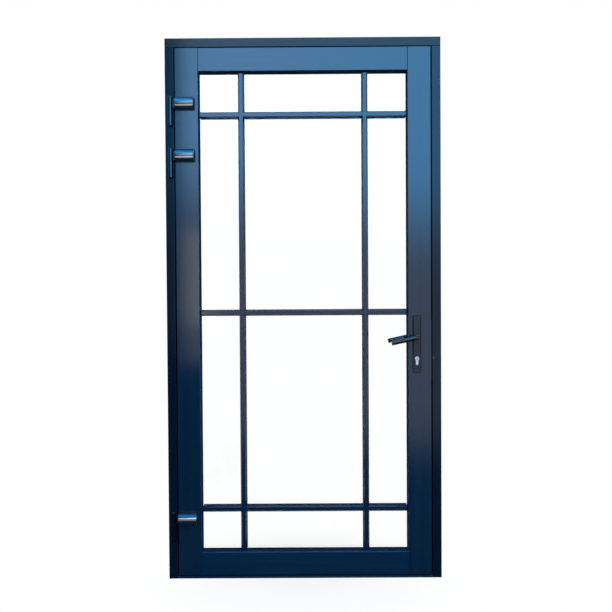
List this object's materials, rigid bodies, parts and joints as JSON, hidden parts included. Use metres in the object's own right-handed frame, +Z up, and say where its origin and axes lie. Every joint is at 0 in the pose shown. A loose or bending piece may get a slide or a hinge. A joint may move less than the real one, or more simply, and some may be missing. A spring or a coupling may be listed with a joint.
{
  "type": "glazed metal front door",
  "caption": "Hinged glazed metal front door in its frame: narrow painted profiles, glazing bars, surface hinges, a lever on a long plate and a low threshold.",
  "frame": {"origin": "on the floor, under the middle of the frame's width and depth", "axes": "+X from the hinge side to the lock side as seen from outside, +Y from outside to inside, +Z up"},
  "size_m": [1.065, 0.174, 2.1],
  "materials": {
    "frame_paint": "semi-gloss dark navy paint",
    "leaf_paint": "semi-gloss navy paint",
    "bar_paint": "semi-gloss navy paint",
    "threshold_metal": "semi-gloss dark paint, worn on top",
    "seal_rubber": "matt black",
    "gasket_rubber": "matt black",
    "clear_glass": "clear sealed unit",
    "spacer_metal": "mill finish",
    "hinge_paint": "glossy navy paint",
    "pin_steel": "turned",
    "handle_paint": "satin near-black coating",
    "spindle_steel": "drawn square bar",
    "cylinder_nickel": "satin nickel",
    "lock_steel": "brushed"
  },
  "bodies": {
    "frame": {"frame_jamb_hinge_side": "frame_paint", "frame_jamb_lock_side": "frame_paint", "frame_head": "frame_paint", "threshold": "threshold_metal", "frame_seal": "seal_rubber", "strike_plate": "handle_paint", "hinge_frame_part_bottom": "hinge_paint", "hinge_frame_part_middle": "hinge_paint", "hinge_frame_part_top": "hinge_paint", "hinge_pin_bottom": "pin_steel", "hinge_pin_middle": "pin_steel", "hinge_pin_top": "pin_steel"},
    "leaf": {"leaf_stile_hinge_side": "leaf_paint", "leaf_stile_lock_side": "leaf_paint", "leaf_rail_bottom": "leaf_paint", "leaf_rail_top": "leaf_paint", "glazing_beads_upright": "leaf_paint", "glazing_beads_lying": "leaf_paint", "glazing_bar_left_outer": "bar_paint", "glazing_bar_right_outer": "bar_paint", "glazing_bar_top_outer": "bar_paint", "glazing_bar_middle_outer": "bar_paint", "glazing_bar_bottom_outer": "bar_paint", "glazing_bar_left_inner": "bar_paint", "glazing_bar_right_inner": "bar_paint", "glazing_bar_top_inner": "bar_paint", "glazing_bar_middle_inner": "bar_paint", "glazing_bar_bottom_inner": "bar_paint", "glazing_gasket_outer": "gasket_rubber", "glazing_gasket_inner": "gasket_rubber", "glass_pane_outer": "clear_glass", "glass_pane_inner": "clear_glass", "glass_spacer": "spacer_metal", "hinge_leaf_part_bottom": "hinge_paint", "hinge_leaf_part_middle": "hinge_paint", "hinge_leaf_part_top": "hinge_paint", "handle_plate_outer": "handle_paint", "handle_plate_inner": "handle_paint", "lock_cylinder": "cylinder_nickel", "lock_faceplate": "lock_steel", "lock_bolts": "lock_steel"},
    "lever_set": {"lever_outer": "handle_paint", "lever_inner": "handle_paint", "lever_spindle": "spindle_steel"}
  },
  "joints": [
    {"name": "door_swing", "type": "hinge", "parent": "frame", "child": "leaf", "pos_m": [-0.5105, -0.0525, 1], "axis": [0, 0, -1], "range_deg": [0, 110]},
    {"name": "lever_turn", "type": "hinge", "parent": "leaf", "child": "lever_set", "pos_m": [0.437, -0.0135, 0.9425], "axis": [0, -1, 0], "range_deg": [0, 32], "stiffness_Nm_per_rad": 2, "springref_deg": -34.38}
  ]
}
